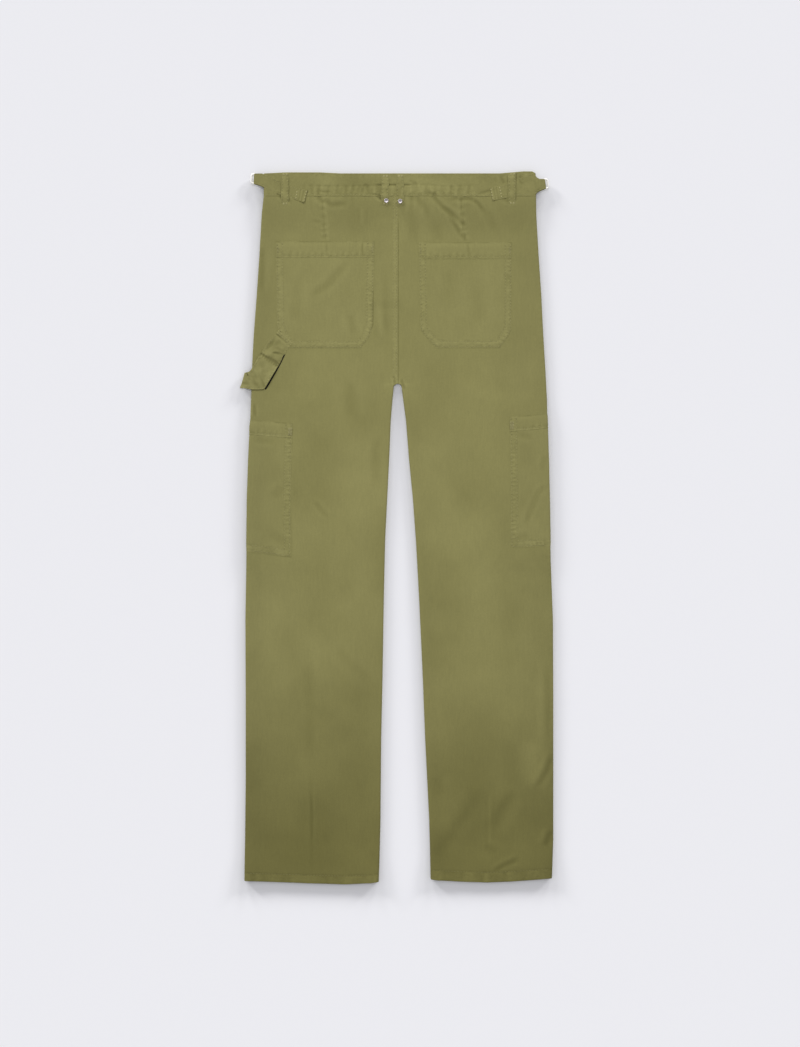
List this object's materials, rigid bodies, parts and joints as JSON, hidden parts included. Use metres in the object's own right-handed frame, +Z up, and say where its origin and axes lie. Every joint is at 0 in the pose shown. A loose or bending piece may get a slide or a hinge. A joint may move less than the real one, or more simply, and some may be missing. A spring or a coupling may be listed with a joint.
{
  "type": "cargo pants",
  "caption": "Straight-leg cotton work trousers laid flat with the back up: patch and cargo pockets, hammer loop, belt loops and side waist adjusters.",
  "frame": {"origin": "middle of the garment's outline, on the surface it lies on", "axes": "+Z up out of the surface, towards the back of the garment; +Y towards the waist; +X towards the wearer's right leg"},
  "size_m": [0.4681, 1.0678, 0.0117],
  "materials": {
    "olive_twill": "matt cotton twill",
    "olive_twill_trim": "matt cotton twill",
    "ring_metal": "polished wire",
    "rivet_metal": "satin domed head",
    "button_plastic": "dull polished"
  },
  "bodies": {
    "root": {"adjuster_ring_left": "ring_metal", "adjuster_ring_right": "ring_metal", "adjuster_strap_left": "olive_twill_trim", "adjuster_strap_right": "olive_twill_trim", "back_left": "olive_twill", "back_pocket_left": "olive_twill_trim", "back_pocket_right": "olive_twill_trim", "back_right": "olive_twill", "belt_loop_centre_left": "olive_twill_trim", "belt_loop_centre_right": "olive_twill_trim", "belt_loop_front_left": "olive_twill_trim", "belt_loop_front_right": "olive_twill_trim", "belt_loop_side_left": "olive_twill_trim", "belt_loop_side_right": "olive_twill_trim", "cargo_pocket_left": "olive_twill_trim", "cargo_pocket_right": "olive_twill_trim", "fly": "olive_twill", "front_left": "olive_twill", "front_right": "olive_twill", "hammer_loop": "olive_twill_trim", "rivet_left": "rivet_metal", "rivet_right": "rivet_metal", "waist_button": "button_plastic", "waistband_back": "olive_twill", "waistband_front_left": "olive_twill", "waistband_front_right": "olive_twill"}
  },
  "joints": []
}
